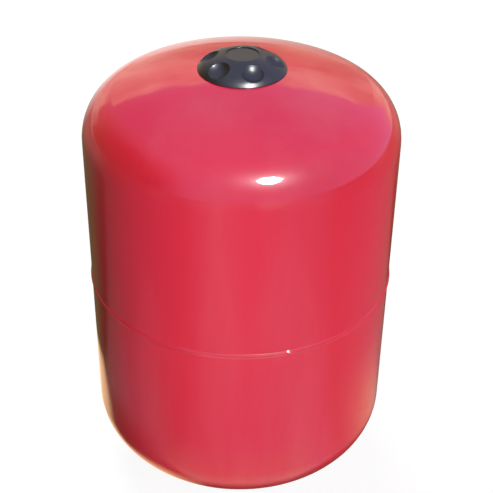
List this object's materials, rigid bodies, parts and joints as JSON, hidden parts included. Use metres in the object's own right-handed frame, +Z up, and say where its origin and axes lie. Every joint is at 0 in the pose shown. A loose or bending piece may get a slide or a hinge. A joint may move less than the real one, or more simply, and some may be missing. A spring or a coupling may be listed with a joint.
{
  "type": "pressure tank",
  "caption": "Upright steel pressure tank with dished ends, a welded seam at mid height, an inner rubber bladder, a threaded connection below and an air valve under a scooped screw cover.",
  "frame": {"origin": "on the tank's axis, at the end face of the connection below", "axes": "+Z up along the tank's axis, towards the valve cover; -Y towards the picture's viewer"},
  "size_m": [0.2874, 0.2874, 0.4523],
  "materials": {
    "tank_paint": "gloss red paint",
    "cover_plastic": "gloss black moulding",
    "zinc_plate": "zinc plated",
    "boss_steel": "turned steel",
    "valve_brass": "turned brass",
    "spring_steel": "bright wire",
    "bladder_rubber": "matte rubber",
    "seal_rubber": "matte rubber",
    "dust_cap_plastic": "matte black moulding"
  },
  "bodies": {
    "tank": {"upper_shell": "tank_paint", "lower_shell": "tank_paint", "girth_weld": "tank_paint", "flange_seat_ring": "tank_paint", "seat_ring_weld": "tank_paint", "bladder": "bladder_rubber", "counter_flange": "zinc_plate", "connection_nipple": "zinc_plate", "nipple_weld": "zinc_plate", "flange_bolts": "zinc_plate", "flange_washers": "zinc_plate", "valve_boss": "boss_steel", "valve_boss_weld": "boss_steel", "valve_stem": "valve_brass", "valve_stem_gasket": "seal_rubber", "valve_core_barrel": "valve_brass", "valve_core_gasket": "seal_rubber", "valve_core_spring": "spring_steel", "dust_cap": "dust_cap_plastic", "dust_cap_seal": "seal_rubber"},
    "cover_ring": {"cover_seal": "seal_rubber"},
    "cover": {"valve_cover": "cover_plastic"},
    "core_pin": {"valve_core_pin": "valve_brass", "valve_core_seal": "seal_rubber"}
  },
  "joints": [
    {"name": "cover_lift", "type": "slide", "parent": "tank", "child": "cover_ring", "axis": [0, 0, 1], "range_m": [0, 0.006]},
    {"name": "cover_turn", "type": "hinge", "parent": "cover_ring", "child": "cover", "pos_m": [0, 0, 0.448], "axis": [0, 0, 1], "range_deg": [0, 1080]},
    {"name": "core_push", "type": "slide", "parent": "tank", "child": "core_pin", "axis": [0, 0, -1], "range_m": [0, 0.0012], "stiffness_N_per_m": 400, "springref_m": -0.002, "deforming": ["valve_core_spring"]}
  ],
  "couplings": [
    {"joint": "cover_lift", "follows": "cover_turn", "m_per_rad": 0.00031831}
  ]
}
